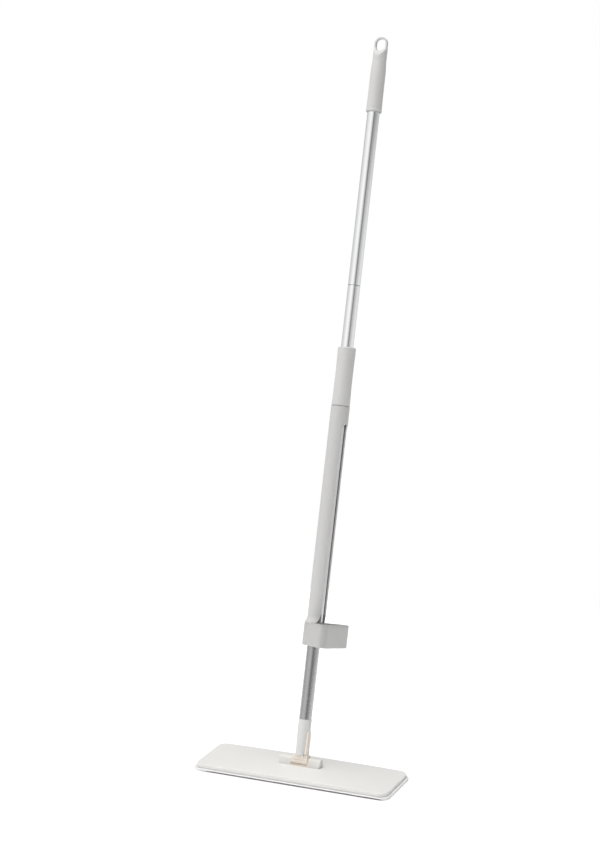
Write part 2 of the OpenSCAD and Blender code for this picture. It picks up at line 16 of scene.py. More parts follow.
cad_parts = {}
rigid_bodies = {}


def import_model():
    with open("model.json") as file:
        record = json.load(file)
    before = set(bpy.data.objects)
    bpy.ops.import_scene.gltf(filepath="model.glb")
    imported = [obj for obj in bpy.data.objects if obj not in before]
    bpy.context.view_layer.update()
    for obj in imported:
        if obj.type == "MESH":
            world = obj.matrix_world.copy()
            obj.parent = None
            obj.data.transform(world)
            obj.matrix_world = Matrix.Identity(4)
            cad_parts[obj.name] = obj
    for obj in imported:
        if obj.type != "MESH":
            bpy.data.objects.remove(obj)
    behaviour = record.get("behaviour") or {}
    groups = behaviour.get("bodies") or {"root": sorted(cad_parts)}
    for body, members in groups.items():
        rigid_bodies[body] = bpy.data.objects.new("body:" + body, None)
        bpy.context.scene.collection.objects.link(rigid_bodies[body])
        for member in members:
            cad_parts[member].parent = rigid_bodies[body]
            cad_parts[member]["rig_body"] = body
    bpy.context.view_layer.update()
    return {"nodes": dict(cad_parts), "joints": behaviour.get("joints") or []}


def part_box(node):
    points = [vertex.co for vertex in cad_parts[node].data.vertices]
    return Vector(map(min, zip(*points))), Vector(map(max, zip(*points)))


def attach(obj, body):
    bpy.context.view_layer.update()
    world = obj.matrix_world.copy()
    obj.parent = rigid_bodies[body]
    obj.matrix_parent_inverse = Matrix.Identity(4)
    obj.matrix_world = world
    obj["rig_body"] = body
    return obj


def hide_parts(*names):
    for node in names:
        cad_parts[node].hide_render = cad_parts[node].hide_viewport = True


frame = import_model()

MM = 0.001
ROW = Matrix.Scale(MM, 4)

# ---------------------------------------------------------------- the pole's axes

joints = {j["name"]: j for j in frame["joints"]}
PITCH_AT = Vector(joints["plate_pitch"]["pos_m"])
POLE_UP = Vector(joints["sleeve_slide"]["axis"]).normalized()
POLE_X = Vector((1, 0, 0))
POLE_BACK = POLE_UP.cross(POLE_X).normalized()
POLE_TURN = Matrix((POLE_X, POLE_BACK, POLE_UP)).transposed().to_4x4()
POLE = Matrix.Translation(PITCH_AT) @ POLE_TURN @ ROW


def pole_mm(node):
    """A CAD node's points in the pole's axes, in millimetres."""
    points = np.array([v.co for v in frame["nodes"][node].data.vertices], float)
    away = points - np.array(PITCH_AT)
    return away @ np.array((POLE_X, POLE_BACK, POLE_UP)).T / MM


def stations(node):
    """Lowest and highest station of a CAD node."""
    s = pole_mm(node)[:, 2]
    return float(s.min()), float(s.max())


def reach(node):
    """Largest distance of a CAD node's points from the pole's axis."""
    return float(np.linalg.norm(pole_mm(node)[:, :2], axis=1).max())


def body_of(node):
    """Name of the body that a CAD node rides on."""
    return frame["nodes"][node]["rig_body"]


# ---------------------------------------------------------------- mesh tools


def finish_piece(obj, material, body, stands_for=()):
    """Material, body and the CAD nodes that a piece stands for."""
    obj.data.materials.clear()
    obj.data.materials.append(material)
    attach(obj, body)
    if stands_for:
        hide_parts(*stands_for)
    return obj


def smooth(obj, weighted=True):
    """Smooth shading, weighted by face size where large flats meet small rounds."""
    for face in obj.data.polygons:
        face.use_smooth = True
    if weighted:
        keep = obj.modifiers.new("even_normals", "WEIGHTED_NORMAL")
        keep.weight = 100
        keep.keep_sharp = False
    return obj


def make(name, verts, faces, pose=ROW, merge=0.0):
    """Closed mesh from points in millimetres and faces, its normals pointing out."""
    mesh = bpy.data.meshes.new(name)
    mesh.from_pydata([pose @ Vector(v) for v in verts], [], faces)
    bm = bmesh.new()
    bm.from_mesh(mesh)
    if merge:
        bmesh.ops.remove_doubles(bm, verts=bm.verts, dist=merge * MM)
    bmesh.ops.recalc_face_normals(bm, faces=bm.faces)
    bm.to_mesh(mesh)
    bm.free()
    obj = bpy.data.objects.new(name, mesh)
    bpy.context.scene.collection.objects.link(obj)
    return obj


def loft(rings, closed=True):
    """Points and faces that join rings of equal length; closed joins the last one to the first."""
    n, m = len(rings[0]), len(rings)
    verts = [p for ring in rings for p in ring]
    faces = []
    for i in range(m if closed else m - 1):
        a, b = i * n, ((i + 1) % m) * n
        for j in range(n):
            k = (j + 1) % n
            faces.append((a + j, a + k, b + k, b + j))
    return verts, faces


def rounded(points, steps=5):
    """Closed outline in which each corner (x, y, radius) becomes a small curve."""
    out = []
    for i, (x, y, radius) in enumerate(points):
        corner = Vector((x, y))
        before = Vector(points[i - 1][:2]) - corner
        after = Vector(points[(i + 1) % len(points)][:2]) - corner
        if radius <= 0:
            out.append((x, y))
            continue
        half = before.angle(after) / 2
        cut = min(radius / math.tan(half), 0.49 * before.length, 0.49 * after.length)
        start = corner + before.normalized() * cut
        end = corner + after.normalized() * cut
        for k in range(steps + 1):
            t = k / steps
            p = start * (1 - t) ** 2 + corner * 2 * t * (1 - t) + end * t * t
            out.append((p.x, p.y))
    return out


def lengths_along(path):
    """Running length at each point of a closed path, and its whole length last."""
    lengths = [0.0]
    for i in range(len(path)):
        lengths.append(lengths[-1] + (path[(i + 1) % len(path)] - path[i]).length)
    return lengths


def spaced(path, count):
    """Evenly spaced places on a closed path, each as the point before it and the share to the next."""
    lengths = lengths_along(path)
    places, at = [], 0
    for k in range(count):
        want = lengths[-1] * k / count
        while lengths[at + 1] < want:
            at += 1
        places.append((at, (want - lengths[at]) / (lengths[at + 1] - lengths[at])))
    return places


def lathe(name, corners, turns=144, steps=5):
    """Solid of revolution about the pole: closed outline of (radius, station, corner radius)."""
    outline = rounded(corners, steps)
    rings = []
    for r, s in outline:
        ring = []
        for i in range(turns):
            a = 2 * math.pi * i / turns
            ring.append((r * math.cos(a), r * math.sin(a), s))
        rings.append(ring)
    verts, faces = loft(rings)
    return smooth(make(name, verts, faces, POLE))


def copy_node(node, name):
    """A new object with a copy of a CAD node's mesh, its doubled points merged."""
    obj = bpy.data.objects.new(name, frame["nodes"][node].data.copy())
    bpy.context.scene.collection.objects.link(obj)
    bm = bmesh.new()
    bm.from_mesh(obj.data)
    bmesh.ops.remove_doubles(bm, verts=bm.verts, dist=1e-6)
    bm.to_mesh(obj.data)
    bm.free()
    return obj


def apply_modifiers(obj):
    """Puts the result of an object's modifiers into its own mesh."""
    graph = bpy.context.evaluated_depsgraph_get()
    mesh = bpy.data.meshes.new_from_object(obj.evaluated_get(graph))
    obj.modifiers.clear()
    obj.data = mesh
    return obj


def softened(node, name, edge, segments=3, limit=32):
    """Copy of a CAD node with its sharp edges rounded, for a moulded part."""
    obj = copy_node(node, name)
    bm = bmesh.new()
    bm.from_mesh(obj.data)
    bmesh.ops.dissolve_limit(
        bm, angle_limit=math.radians(0.5), verts=bm.verts, edges=bm.edges
    )
    bm.to_mesh(obj.data)
    bm.free()
    bevel = obj.modifiers.new("edges", "BEVEL")
    bevel.width = edge * MM
    bevel.segments = segments
    bevel.limit_method = "ANGLE"
    bevel.angle_limit = math.radians(limit)
    bevel.use_clamp_overlap = True
    apply_modifiers(obj)
    return smooth(obj)


def melted(node, name, voxel, passes, fill):
    """Copy of a CAD node, remeshed, relaxed and filled out again, for a part rounded all over."""
    obj = copy_node(node, name)
    remesh = obj.modifiers.new("remesh", "REMESH")
    remesh.mode = "VOXEL"
    remesh.voxel_size = voxel * MM
    relax = obj.modifiers.new("relax", "SMOOTH")
    relax.factor = 0.5
    relax.iterations = passes
    swell = obj.modifiers.new("swell", "DISPLACE")
    swell.mid_level = 0
    swell.strength = fill * MM
    apply_modifiers(obj)
    return smooth(obj, weighted=False)


# ---------------------------------------------------------------- materials


def new_material(name):
    """New material with its node tree and its shader."""
    material = bpy.data.materials.new(name)
    material.use_nodes = True
    tree = material.node_tree
    return material, tree, tree.nodes["Principled BSDF"]


def object_coords(tree, stretch=(1, 1, 1)):
    """Coordinates in the object's own frame, in metres, stretched along each axis."""
    coords = tree.nodes.new("ShaderNodeTexCoord")
    mapping = tree.nodes.new("ShaderNodeMapping")
    mapping.inputs["Scale"].default_value = stretch
    tree.links.new(coords.outputs["Object"], mapping.inputs["Vector"])
    return mapping.outputs["Vector"]


def noise_of(tree, vector, scale, detail=3.0, rough=0.5):
    """Noise between 0 and 1, with scale in cells per metre of the given coordinates."""
    made = tree.nodes.new("ShaderNodeTexNoise")
    made.inputs["Scale"].default_value = scale
    made.inputs["Detail"].default_value = detail
    made.inputs["Roughness"].default_value = rough
    tree.links.new(vector, made.inputs["Vector"])
    return made.outputs["Fac"]


def ramp(tree, source, low, high, start=0.0, end=1.0):
    """Maps a 0 to 1 value onto low to high, between start and end."""
    made = tree.nodes.new("ShaderNodeMapRange")
    made.inputs["From Min"].default_value = start
    made.inputs["From Max"].default_value = end
    made.inputs["To Min"].default_value = low
    made.inputs["To Max"].default_value = high
    tree.links.new(source, made.inputs["Value"])
    return made.outputs["Result"]


def tinted(tree, shader, source, dark, light):
    """Base colour between two near colours, by a 0 to 1 value."""
    mix = tree.nodes.new("ShaderNodeMix")
    mix.data_type = "RGBA"
    mix.inputs[6].default_value = (*dark, 1)
    mix.inputs[7].default_value = (*light, 1)
    tree.links.new(source, mix.inputs[0])
    tree.links.new(mix.outputs[2], shader.inputs["Base Color"])


def bumped(tree, shader, source, strength, depth):
    """Surface relief of a given depth in metres."""
    bump = tree.nodes.new("ShaderNodeBump")
    bump.inputs["Strength"].default_value = strength
    bump.inputs["Distance"].default_value = depth
    tree.links.new(source, bump.inputs["Height"])
    tree.links.new(bump.outputs["Normal"], shader.inputs["Normal"])


def shade(color, factor):
    """A colour made darker or lighter."""
    return tuple(min(1.0, c * factor) for c in color)


def moulded(name, color, roughness, grain, grain_depth, spread=0.012, specular=0.5):
    """Moulded plastic: fine spark-eroded grain, faint flow clouds in colour and in gloss."""
    material, tree, shader = new_material(name)
    vector = object_coords(tree)
    clouds = noise_of(tree, vector, 14.0, 4.0)
    tinted(tree, shader, clouds, shade(color, 1 - spread), shade(color, 1 + spread))
    fine = noise_of(tree, vector, grain, 2.0, 0.6)
    tree.links.new(
        ramp(tree, fine, roughness - 0.05, roughness + 0.06, 0.3, 0.7),
        shader.inputs["Roughness"],
    )
    bumped(tree, shader, fine, 0.5, grain_depth)
    shader.inputs["Specular IOR Level"].default_value = specular
    return material


def hairlines(tree):
    """Noise drawn out into fine lines up the tube."""
    return noise_of(tree, object_coords(tree, (900, 900, 9)), 1.0, 3.0, 0.6)


def uneven(tree, source, roughness, low, high):
    """Roughness that changes between two factors with a 0 to 1 value."""
    return ramp(tree, source, roughness * low, roughness * high, 0.3, 0.7)


def satin_steel(name, color, roughness):
    """Drawn steel: hairlines along the tube and small changes of gloss."""
    material, tree, shader = new_material(name)
    shader.inputs["Metallic"].default_value = 1.0
    hair = hairlines(tree)
    clouds = noise_of(tree, object_coords(tree, (30, 30, 6)), 1.0, 3.0)
    tinted(tree, shader, clouds, shade(color, 0.97), shade(color, 1.02))
    tree.links.new(uneven(tree, hair, roughness, 0.8, 1.25), shader.inputs["Roughness"])
    bumped(tree, shader, hair, 0.08, 0.00001)
    return material


def shade_graded_steel(name, grades, roughness, foot_roughness):
    """Drawn steel whose tone changes with height as painted shade, rougher at its foot; grades are
    (metres, color).
    """
    material = satin_steel(name, grades[-1][1], roughness)
    tree = material.node_tree
    shader = tree.nodes["Principled BSDF"]
    split = tree.nodes.new("ShaderNodeSeparateXYZ")
    tree.links.new(object_coords(tree), split.inputs[0])
    tone = tree.nodes.new("ShaderNodeValToRGB")
    stops = tone.color_ramp.elements
    while len(stops) < len(grades):
        stops.new(1.0)
    for stop, (height, color) in zip(stops, grades):
        stop.position = height
        stop.color = (*color, 1)
    tree.links.new(split.outputs["Z"], tone.inputs[0])
    tree.links.new(tone.outputs[0], shader.inputs["Base Color"])
    above_foot = ramp(tree, split.outputs["Z"], 0, 1, grades[0][0], grades[1][0])
    hair = hairlines(tree)
    rough = tree.nodes.new("ShaderNodeMix")
    tree.links.new(above_foot, rough.inputs[0])
    tree.links.new(uneven(tree, hair, foot_roughness, 0.85, 1.2), rough.inputs[2])
    tree.links.new(uneven(tree, hair, roughness, 0.8, 1.25), rough.inputs[3])
    tree.links.new(rough.outputs[0], shader.inputs["Roughness"])
    return material


def plated(name, color, roughness):
    """Small plated steel parts: screws, pins, magnets."""
    material, tree, shader = new_material(name)
    shader.inputs["Metallic"].default_value = 1.0
    spots = noise_of(tree, object_coords(tree), 900.0, 3.0)
    tinted(tree, shader, spots, shade(color, 0.9), shade(color, 1.05))
    tree.links.new(
        ramp(tree, spots, roughness - 0.08, roughness + 0.1, 0.3, 0.7),
        shader.inputs["Roughness"],
    )
    bumped(tree, shader, spots, 0.2, 0.00002)
    return material


def fibre(name, color, strand, spread, sheen=0.3, rough=0.95):
    """Microfibre or woven tape: strands of changing shade, with a soft sheen."""
    material, tree, shader = new_material(name)
    strands = noise_of(tree, object_coords(tree), strand, 5.0, 0.65)
    contrast = ramp(tree, strands, 0, 1, 0.3, 0.7)
    tinted(tree, shader, contrast, shade(color, 1 - spread), shade(color, 1 + spread))
    bumped(tree, shader, strands, 0.8, 0.0003)
    shader.inputs["Roughness"].default_value = rough
    shader.inputs["Sheen Weight"].default_value = sheen
    shader.inputs["Sheen Roughness"].default_value = 0.5
    return material


GREY = (0.632, 0.627, 0.620)
WHITE = (0.752, 0.742, 0.722)
SOCKET = (0.675, 0.673, 0.658)
CREAM = (0.800, 0.726, 0.640)
# Painted shade: the bosses' colour is a darker, warmer copy of the plate's white.
BOSS_SHADED = (0.710, 0.696, 0.660)
DARK = (0.030, 0.030, 0.031)
# Dark grey of the lower guides, dark enough to stand also for the painted shade inside the collar's
# foot.
GUIDE_AND_SHADE = (0.230, 0.230, 0.234)
STEEL = (0.930, 0.932, 0.935)
# Painted shade on the lower tube: darker steel lower down stands in for the darker surroundings it
# mirrors there.
MID_SHADED_STEEL = (0.630, 0.631, 0.633)
FOOT_SHADED_STEEL = (0.430, 0.430, 0.432)
BINDING = (0.780, 0.775, 0.770)
# Near-black pile, dark enough to stand also for the painted contact shadow under the pad's front edge.
PILE_AND_SHADOW = (0.045, 0.045, 0.048)

grip_grey = moulded("grip_grey", GREY, 0.52, 2600.0, 0.00005)
shell_grey = moulded("shell_grey", shade(GREY, 0.925), 0.46, 2200.0, 0.00003)
# Painted shade: the ring's grey is a darker copy of the grip's grey, standing in for the shade on its
# right-hand wall.
ring_shaded_grey = moulded("ring_shaded_grey", shade(GREY, 0.81), 0.46, 2200.0, 0.00003)
plate_white = moulded("plate_white", WHITE, 0.42, 1900.0, 0.00003, 0.008)
boss_shaded_white = moulded("boss_shaded_white", BOSS_SHADED, 0.42, 1900.0, 0.00003, 0.008)
socket_white = moulded("socket_white", SOCKET, 0.40, 1900.0, 0.00002)
hinge_cream = moulded("hinge_cream", CREAM, 0.42, 2200.0, 0.00002)
dark_plastic = moulded("dark_plastic", DARK, 0.50, 2200.0, 0.00004, 0.05)
guide_grey = moulded("guide_grey", GUIDE_AND_SHADE, 0.50, 2200.0, 0.00003)
tube_steel = satin_steel("tube_steel", STEEL, 0.17)
# Painted shade: the lower tube's steel darkens towards its foot.
STEEL_SHADE_GRADES = [(0.225, FOOT_SHADED_STEEL), (0.262, MID_SHADED_STEEL), (0.64, MID_SHADED_STEEL), (0.70, STEEL)]
lower_steel_shaded = shade_graded_steel("lower_steel_shaded", STEEL_SHADE_GRADES, 0.20, 0.27)
screw_steel = plated("screw_steel", (0.56, 0.56, 0.57), 0.34)
pin_steel = plated("pin_steel", (0.62, 0.62, 0.63), 0.25)
soft_rubber = moulded("soft_rubber", (0.060, 0.060, 0.062), 0.72, 1500.0, 0.00006, 0.06, 0.3)
binding_cloth = fibre("binding_cloth", BINDING, 900.0, 0.05)
stitch_thread = fibre("stitch_thread", shade(BINDING, 1.06), 2600.0, 0.06)
pile_fibre_and_shadow = fibre("pile_fibre_and_shadow", PILE_AND_SHADOW, 500.0, 0.45, 0.5)
backing_cloth = fibre("backing_cloth", (0.66, 0.66, 0.65), 1200.0, 0.10)
hook_tape = fibre("hook_tape", (0.35, 0.35, 0.36), 1800.0, 0.15)

CAD_LOOKS = {
    "tube_coupling": dark_plastic,
    "bracket_screws": screw_steel,
    "tube_screw": screw_steel,
    "hold_magnet": pin_steel,
    "flip_pin": pin_steel,
    "keeper_disc": pin_steel,
    "plate_frame": plate_white,
    "pitch_pin": pin_steel,
    "head_screws": screw_steel,
    "hook_strips": hook_tape,
    "seam_ring": dark_plastic,
    "upper_bush": dark_plastic,
    "middle_bush": dark_plastic,
    "friction_ring": soft_rubber,
    "lower_guides": guide_grey,
    "squeeze_lip": soft_rubber,
    "ring_screws": screw_steel,
}

for name, material in CAD_LOOKS.items():
    frame["nodes"][name].data.materials.clear()
    frame["nodes"][name].data.materials.append(material)

# ---------------------------------------------------------------- tubes and top grip

EDGE = 0.25


def pole_tube(name, node_name, material):
    """Thin steel tube with rolled ends."""
    low, high = stations(node_name)
    outer = reach(node_name)
    inner = float(np.linalg.norm(pole_mm(node_name)[:, :2], axis=1).min())
    corners = [(inner, low, 0), (outer, low, EDGE), (outer, high, EDGE), (inner, high, 0)]
    obj = lathe(name, corners)
    return finish_piece(obj, material, "pole", [node_name])


def top_grip():
    """Tapered grip with a rolled lip at its foot and a soft shoulder under the loop."""
    low, high = stations("top_grip")
    bore = reach("upper_tube")
    lip = reach("top_grip")
    loop = float(pole_mm("hang_eye")[:, 0].max())
    corners = [
        (bore, low, 0),
        (lip - 0.5, low, 0.5),
        (lip, low + 1.2, 0.8),
        (lip, low + 3.2, 0.8),
        (lip - 0.45, low + 4.4, 0.6),
        (lip - 0.8, low + 31, 20),
        (lip - 0.8, low + 73, 20),
        (loop + 0.35, high - 1.0, 0.6),
        (loop + 0.1, high, 0.2),
        (bore - 0.7, high, 0),
        (bore - 0.7, high - 6, 0),
        (bore, high - 6, 0),
    ]
    obj = lathe("top_grip_soft", corners)
    return finish_piece(obj, grip_grey, "pole", ["top_grip"])


def hang_eye():
    """Hanging loop with a rod-like section that runs into the barrel."""
    obj = melted("hang_eye", "hang_loop", 0.4, 6, 0.5)
    return finish_piece(obj, grip_grey, "pole", ["hang_eye"])


pole_tube("steel_tube_upper", "upper_tube", tube_steel)
pole_tube("steel_tube_lower", "lower_tube", lower_steel_shaded)
top_grip()
hang_eye()

# ---------------------------------------------------------------- slider

RING_LOW, RING_TOP = stations("squeeze_ring")
SHELL_R = float(np.percentile(np.linalg.norm(pole_mm("slider_shell")[:, :2], axis=1), 60))
SEAM_LOW = stations("seam_ring")[0]
SHELL_WALL = 2.6
SLOT_HALF = 11.5
SLOT_FLARE = 19.3
SLOT_FLARE_H = 15.0
SLOT_TOP = SEAM_LOW - 30.6
FLARE_H = 10.5
COLLAR_R = -float(pole_mm("squeeze_ring")[:, 0].min())


def slider_grip():
    """Hand grip of the slider, slightly waisted."""
    low, high = stations("slider_grip")
    outer = reach("slider_grip")
    bore = 11.8
    seat = 14.4
    neck = 13.0
    neck_top = low + 25.6
    corners = [
        (seat, low, 0),
        (outer - 0.3, low, 0.5),
        (outer, low + 1.2, 0.8),
        (outer, low + 8, 6),
        (outer - 0.6, low + 28, 16),
        (outer - 0.65, high - 34, 16),
        (outer - 0.15, high - 10, 8),
        (outer - 0.15, high - 2, 1.6),
        (outer - 1.3, high, 1.0),
        (bore, high, 0.5),
        (bore, high - 3, 0),
        (neck, high - 3, 0),
        (neck, neck_top, 0),
        (seat, neck_top, 0),
    ]
    obj = lathe("slider_hand_grip", corners)
    return finish_piece(obj, grip_grey, "slider", ["slider_grip"])


def shell_radius(s):
    """Outer radius of the shell, which flares into the ring's collar at its foot."""
    t = (s - RING_TOP) / FLARE_H
    if t < 1:
        return SHELL_R + (COLLAR_R - 0.15 - SHELL_R) * (1 - max(t, 0)) ** 1.5
    to_seam = SEAM_LOW - s
    return SHELL_R - 0.5 * max(0.0, 1 - to_seam / 0.6) ** 2


def slot_half(s):
    """Half width of the slot at a station."""
    top = SLOT_TOP - SLOT_HALF
    if s > top:
        return math.sqrt(max(0.0, SLOT_HALF**2 - (s - top) ** 2))
    t = max(0.0, 1 - (s - RING_TOP) / SLOT_FLARE_H)
    return SLOT_HALF + (SLOT_FLARE - SLOT_HALF) * t**2


def slider_shell():
    """Long shell with a slot down its front, arched at the top and flared at the foot."""
    columns = 96
    arch = SLOT_TOP - SLOT_HALF
    rows = [RING_TOP + 0.02 + SLOT_FLARE_H * (i / 20) for i in range(20)]
    rows += list(np.linspace(RING_TOP + SLOT_FLARE_H + 0.5, arch, 30))
    rows += [arch + SLOT_HALF * math.sin(math.pi / 2 * i / 16) for i in range(1, 17)]
    rows += [SLOT_TOP + 4, SLOT_TOP + 12, SEAM_LOW - 6, SEAM_LOW - 1.2]
    rows += [SEAM_LOW - 0.6, SEAM_LOW - 0.4, SEAM_LOW - 0.2, SEAM_LOW]
    verts = []
    for s in rows:
        r = shell_radius(s)
        start = math.asin(min(1.0, slot_half(s) / r)) if s < SLOT_TOP - 1e-6 else 0.0
        for i in range(columns + 1):
            a = start + (2 * math.pi - 2 * start) * i / columns
            verts.append((r * math.cos(a), r * math.sin(a), s))
    faces = []
    for i in range(len(rows) - 1):
        for j in range(columns):
            a = i * (columns + 1) + j
            faces.append((a, a + 1, a + columns + 2, a + columns + 1))
    obj = make("slider_long_shell", verts, faces, POLE, merge=0.01)
    wall = obj.modifiers.new("wall", "SOLIDIFY")
    wall.thickness = SHELL_WALL * MM
    wall.offset = -1
    edge = obj.modifiers.new("edges", "BEVEL")
    edge.width = 0.45 * MM
    edge.segments = 3
    edge.limit_method = "ANGLE"
    edge.angle_limit = math.radians(50)
    apply_modifiers(obj)
    smooth(obj)
    return finish_piece(obj, shell_grey, "slider", ["slider_shell"])


RING_FRONT = float(pole_mm("squeeze_ring")[:, 0].max())
RING_HALF_W = float(pole_mm("squeeze_ring")[:, 1].max())
RING_WALL = 1.8
RING_BACK_R = 18.0
RING_END_R = 9.0
RING_CORNER_R = 12.0
RING_CENTRE = 15.0


def in_plan(x, y, inset):
    """True inside the ring's plan, drawn in by an inset: a rounded triangle with a rounded front."""
    y = abs(y)
    end = Vector((RING_FRONT - RING_END_R, RING_HALF_W - RING_END_R))
    lean = math.atan2(end.y, end.x) + math.acos((RING_BACK_R - RING_END_R) / end.length)
    out = Vector((math.cos(lean), math.sin(lean)))
    p = Vector((x, y))
    side = Vector((out.y, -out.x))
    along, length = p.dot(side), end.dot(side)
    if along < 0:
        inside = p.length < RING_BACK_R - inset
    elif along < length:
        inside = p.dot(out) < RING_BACK_R - inset
    else:
        inside = (p - end).length < RING_END_R - inset or y < end.y
    inside = inside and x < RING_FRONT - inset and y < RING_HALF_W - inset
    corner = Vector((RING_FRONT - RING_CORNER_R, RING_HALF_W - RING_CORNER_R))
    if x > corner.x and y > corner.y:
        inside = inside and (p - corner).length < RING_CORNER_R - inset
    return inside


def plan_edge(angle, inset, collar):
    """Point where a ray from the ring's middle leaves the plan or the collar's circle."""
    low, high = 0.0, 90.0
    for _ in range(34):
        middle = (low + high) / 2
        x = RING_CENTRE + middle * math.cos(angle)
        y = middle * math.sin(angle)
        if in_plan(x, y, inset) or math.hypot(x, y) < collar:
            low = middle
        else:
            high = middle
    return Vector((RING_CENTRE + low * math.cos(angle), low * math.sin(angle)))


def plan_loop(inset, collar, count=360, rays=1440):
    """Closed loop of points round the plan, evenly spaced and slightly relaxed."""
    raw = [plan_edge(2 * math.pi * i / rays, inset, collar) for i in range(rays)]
    loop = [raw[i].lerp(raw[(i + 1) % rays], t) for i, t in spaced(raw, count)]
    for _ in range(3):
        loop = [(loop[i - 1] + loop[i] * 2 + loop[(i + 1) % count]) / 4 for i in range(count)]
    return loop


def loop_normals(loop):
    """Unit vectors pointing out of a closed loop that runs counterclockwise."""
    out = []
    for i in range(len(loop)):
        t = (loop[(i + 1) % len(loop)] - loop[i - 1]).normalized()
        out.append(Vector((t.y, -t.x)))
    return out


def squeeze_ring():
    """Ring wall with a beaded rim, a fine groove below it and soft edges."""
    outer = plan_loop(0, COLLAR_R)
    inner = plan_loop(RING_WALL, SHELL_R)
    outward, inward = loop_normals(outer), loop_normals(inner)
    low, top = RING_LOW, RING_TOP
    mid_wall, groove = RING_WALL / 2, 0.55
    outside = rounded(
        [
            (2.0, low, 0),
            (0.0, low, 1.6),
            (0.0, top - 3.3, 0.15),
            (groove, top - 3.0, 0.15),
            (groove, top - 2.4, 0.15),
            (0.0, top - 2.1, 0.15),
            (0.0, top, 0.7),
            (mid_wall, top, 0),
        ],
        4,
    )[1:-1]
    inside = rounded(
        [(mid_wall, top, 0), (0.0, top, 0.6), (0.0, low, 0.8), (mid_wall, low, 0)], 4
    )[1:-1]
    rings = []
    for depth, s in outside:
        rings.append([(*(p - n * depth), s) for p, n in zip(outer, outward)])
    for depth, s in inside:
        rings.append([(*(p + n * depth), s) for p, n in zip(inner, inward)])
    verts, faces = loft(rings)
    obj = smooth(make("squeeze_ring_wall", verts, faces, POLE))
    return finish_piece(obj, ring_shaded_grey, "slider", ["squeeze_ring"])


slider_grip()
slider_shell()
squeeze_ring()

# ---------------------------------------------------------------- hinge

for cad, piece, material, slot, edge in [
    ("socket", "pole_socket", socket_white, "socket_white", 0.4),
    ("bracket", "foot_bracket", hinge_cream, "hinge_cream", 0.45),
    ("hinge_yoke", "yoke_block", hinge_cream, "hinge_cream", 0.4),
    ("hinge_cradle", "cradle", hinge_cream, "hinge_cream", 0.35),
    ("boss_left", "boss_left_soft", boss_shaded_white, "plate_white", 0.9),
    ("boss_right", "boss_right_soft", boss_shaded_white, "plate_white", 0.9),
]:
    finish_piece(softened(cad, piece, edge), material, body_of(cad), [cad])

# ---------------------------------------------------------------- plate

COVER_LOW, COVER_HIGH = (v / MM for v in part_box("plate_cover"))
PLATE_L = 2 * COVER_HIGH.x
PLATE_W = 2 * COVER_HIGH.y
PLATE_CORNER = 14.0
RIM_Z = 11.2
RIM_BOW = 1.2
CROWN = COVER_HIGH.z - RIM_Z - RIM_BOW + 0.12
COVER_WALL = 1.8
RIM_ROUND = 1.2
BOSS_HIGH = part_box("boss_right")[1] / MM
OPENING_L = 2 * BOSS_HIGH.x + 0.6
OPENING_W = 2 * BOSS_HIGH.y + 0.4
OPENING_CORNER = 4.3


def cover_z(x, y):
    """Height of the cover's top, crowned along and across."""
    along = 1 - (2 * x / PLATE_L) ** 2
    across = 1 - (2 * y / PLATE_W) ** 2
    return RIM_Z + along * (RIM_BOW + CROWN * across)


def round_loop(length, width, corner, per_corner=12, long_steps=60, short_steps=16):
    """Points round a rounded rectangle, the same number for every size, counterclockwise."""
    out = []
    hx, hy = length / 2 - corner, width / 2 - corner
    sides = [(1, 1, long_steps), (-1, 1, short_steps), (-1, -1, long_steps), (1, -1, short_steps)]
    for i, (sx, sy, steps) in enumerate(sides):
        for k in range(per_corner + 1):
            a = math.pi / 2 * (i + k / per_corner)
            out.append(Vector((sx * hx + corner * math.cos(a), sy * hy + corner * math.sin(a))))
        next_x, next_y, _ = sides[(i + 1) % 4]
        a = math.pi / 2 * (i + 1)
        end = Vector((next_x * hx + corner * math.cos(a), next_y * hy + corner * math.sin(a)))
        start = out[-1]
        out += [start.lerp(end, k / steps) for k in range(1, steps)]
    return out


def plate_cover():
    """Crowned cover with a rounded rim, open in the middle for the hinge."""
    steps = 26
    opening = round_loop(OPENING_L, OPENING_W, OPENING_CORNER)
    edge = round_loop(PLATE_L, PLATE_W, PLATE_CORNER)
    flat = round_loop(PLATE_L - 2 * RIM_ROUND, PLATE_W - 2 * RIM_ROUND, PLATE_CORNER - RIM_ROUND)
    inside = round_loop(PLATE_L - 2 * COVER_WALL, PLATE_W - 2 * COVER_WALL, PLATE_CORNER - COVER_WALL)
    rings = []
    for depth, drop in [(0.0, 1.2), (0.0, 0.5), (0.15, 0.15)]:
        loop = round_loop(OPENING_L + 2 * depth, OPENING_W + 2 * depth, OPENING_CORNER + depth)
        rings.append([(p.x, p.y, cover_z(p.x, p.y) - drop) for p in loop])
    start = round_loop(OPENING_L + 1.0, OPENING_W + 1.0, OPENING_CORNER + 0.5)
    for i in range(steps + 1):
        loop = [a.lerp(b, i / steps) for a, b in zip(start, flat)]
        rings.append([(p.x, p.y, cover_z(p.x, p.y)) for p in loop])
    for i in range(1, 8):
        a = math.pi / 2 * i / 7
        ring = []
        for p, q in zip(flat, edge):
            at = p.lerp(q, math.sin(a))
            ring.append((at.x, at.y, cover_z(p.x, p.y) - RIM_ROUND * (1 - math.cos(a))))
        rings.append(ring)
    low = COVER_LOW.z - 0.1
    rings.append([(p.x, p.y, low + 0.35) for p in edge])
    rings.append([(p.x * 0.9993, p.y * 0.998, low + 0.1) for p in edge])
    rings.append([(p.x * 0.998, p.y * 0.994, low) for p in edge])
    rings.append([(p.x, p.y, low) for p in inside])
    for i in range(steps, -1, -4):
        loop = [a.lerp(b, i / steps) for a, b in zip(opening, inside)]
        rings.append([(p.x, p.y, cover_z(p.x, p.y) - COVER_WALL - 0.4) for p in loop])
    verts, faces = loft(rings)
    obj = smooth(make("plate_cover_soft", verts, faces))
    return finish_piece(obj, plate_white, "head", ["plate_cover"])


